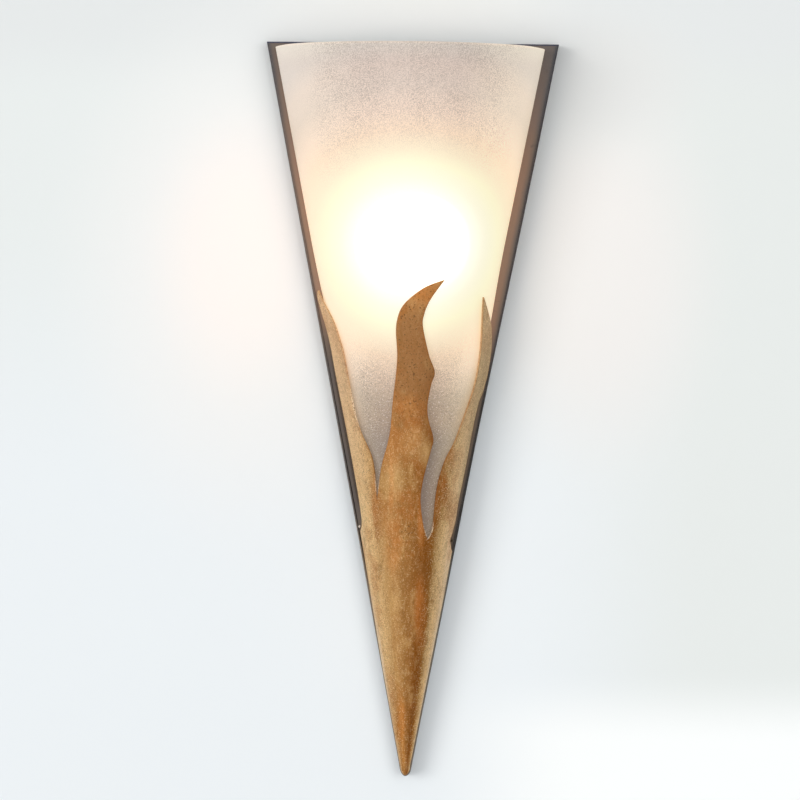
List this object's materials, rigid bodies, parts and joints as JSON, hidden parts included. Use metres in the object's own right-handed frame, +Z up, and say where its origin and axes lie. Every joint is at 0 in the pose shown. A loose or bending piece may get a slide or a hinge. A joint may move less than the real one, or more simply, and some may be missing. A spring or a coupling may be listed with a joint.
{
  "type": "wall sconce",
  "caption": "Torch wall sconce: folded brown back pan, lift-out half-cone frosted glass shade, worn gold metal shield cut into flame tongues, small screw lamp inside",
  "frame": {"origin": "centre of the two wall screws, on the wall's surface", "axes": "+X to the viewer's right, +Y into the wall, +Z up; the light faces -Y and is stored as it hangs"},
  "size_m": [0.24, 0.1323, 0.6],
  "materials": {
    "pan_brown": "satin dark brown paint over steel, mottled",
    "zinc_steel": "bright zinc plate",
    "brass_parts": "turned, slightly dulled",
    "grommet_rubber": "matt black",
    "block_nylon": "natural nylon",
    "lead_brown": "brown insulation",
    "lead_blue": "blue insulation",
    "lead_earth": "green and yellow insulation",
    "black_holder": "black moulded resin",
    "holder_ceramic": null,
    "cushion_silicone": "translucent white silicone",
    "worn_gold": "gold leaf effect worn to olive and rust, fine vertical streaks",
    "braze": "bright beads",
    "clear_pad": "clear soft plastic",
    "solder": "dull solder",
    "black_glass": "black glass",
    "cap_nickel": "nickel plate",
    "opal_lamp_glass": "opal white, lit",
    "stem_glass": "clear",
    "tungsten": "glowing wire",
    "frosted_glass": "frosted cream with a fine grain"
  },
  "bodies": {
    "wall_light": {"back_pan": "pan_brown", "wall_strap": "zinc_steel", "mounting_studs": "zinc_steel", "strap_nuts": "zinc_steel", "stud_washers": "zinc_steel", "cap_nuts": "brass_parts", "cable_grommet": "grommet_rubber", "terminal_block": "block_nylon", "terminal_clamps": "brass_parts", "terminal_screws": "zinc_steel", "block_screws": "zinc_steel", "block_nuts": "zinc_steel", "earth_screw": "zinc_steel", "earth_ring": "brass_parts", "earth_nut": "zinc_steel", "live_lead": "lead_brown", "neutral_lead": "lead_blue", "earth_lead": "lead_earth", "holder_bracket": "zinc_steel", "bracket_screws": "zinc_steel", "bracket_nuts": "zinc_steel", "threaded_nipple": "brass_parts", "nipple_nut": "brass_parts", "holder_base": "black_holder", "holder_core": "holder_ceramic", "holder_skirt": "black_holder", "screw_shell": "brass_parts", "centre_contact": "brass_parts", "glass_rest": "zinc_steel", "rest_cushion": "cushion_silicone", "rest_screw": "zinc_steel", "rest_nut": "zinc_steel", "flame_shield": "worn_gold", "cross_straps": "zinc_steel", "shield_screws": "zinc_steel", "braze_beads": "braze", "tongue_pads": "clear_pad"},
    "lamp_tip": {"lamp_contact": "solder"},
    "lamp": {"lamp_insulator": "black_glass", "lamp_cap": "cap_nickel", "lamp_globe": "opal_lamp_glass", "lamp_stem": "stem_glass", "filament": "tungsten"},
    "glass": {"glass_shade": "frosted_glass"}
  },
  "joints": [
    {"name": "glass_lift", "type": "slide", "parent": "wall_light", "child": "glass", "axis": [0, -0.1919, 0.9814], "range_m": [0, 0.46]},
    {"name": "bulb_rise", "type": "slide", "parent": "wall_light", "child": "lamp_tip", "axis": [0, 0, 1], "range_m": [0, 0.01411]},
    {"name": "bulb_turn", "type": "hinge", "parent": "lamp_tip", "child": "lamp", "pos_m": [0, -0.058, -0.057], "axis": [0, 0, 1], "range_deg": [0, 1800]}
  ],
  "couplings": [
    {"joint": "bulb_rise", "follows": "bulb_turn", "m_per_rad": 0.00044882}
  ]
}
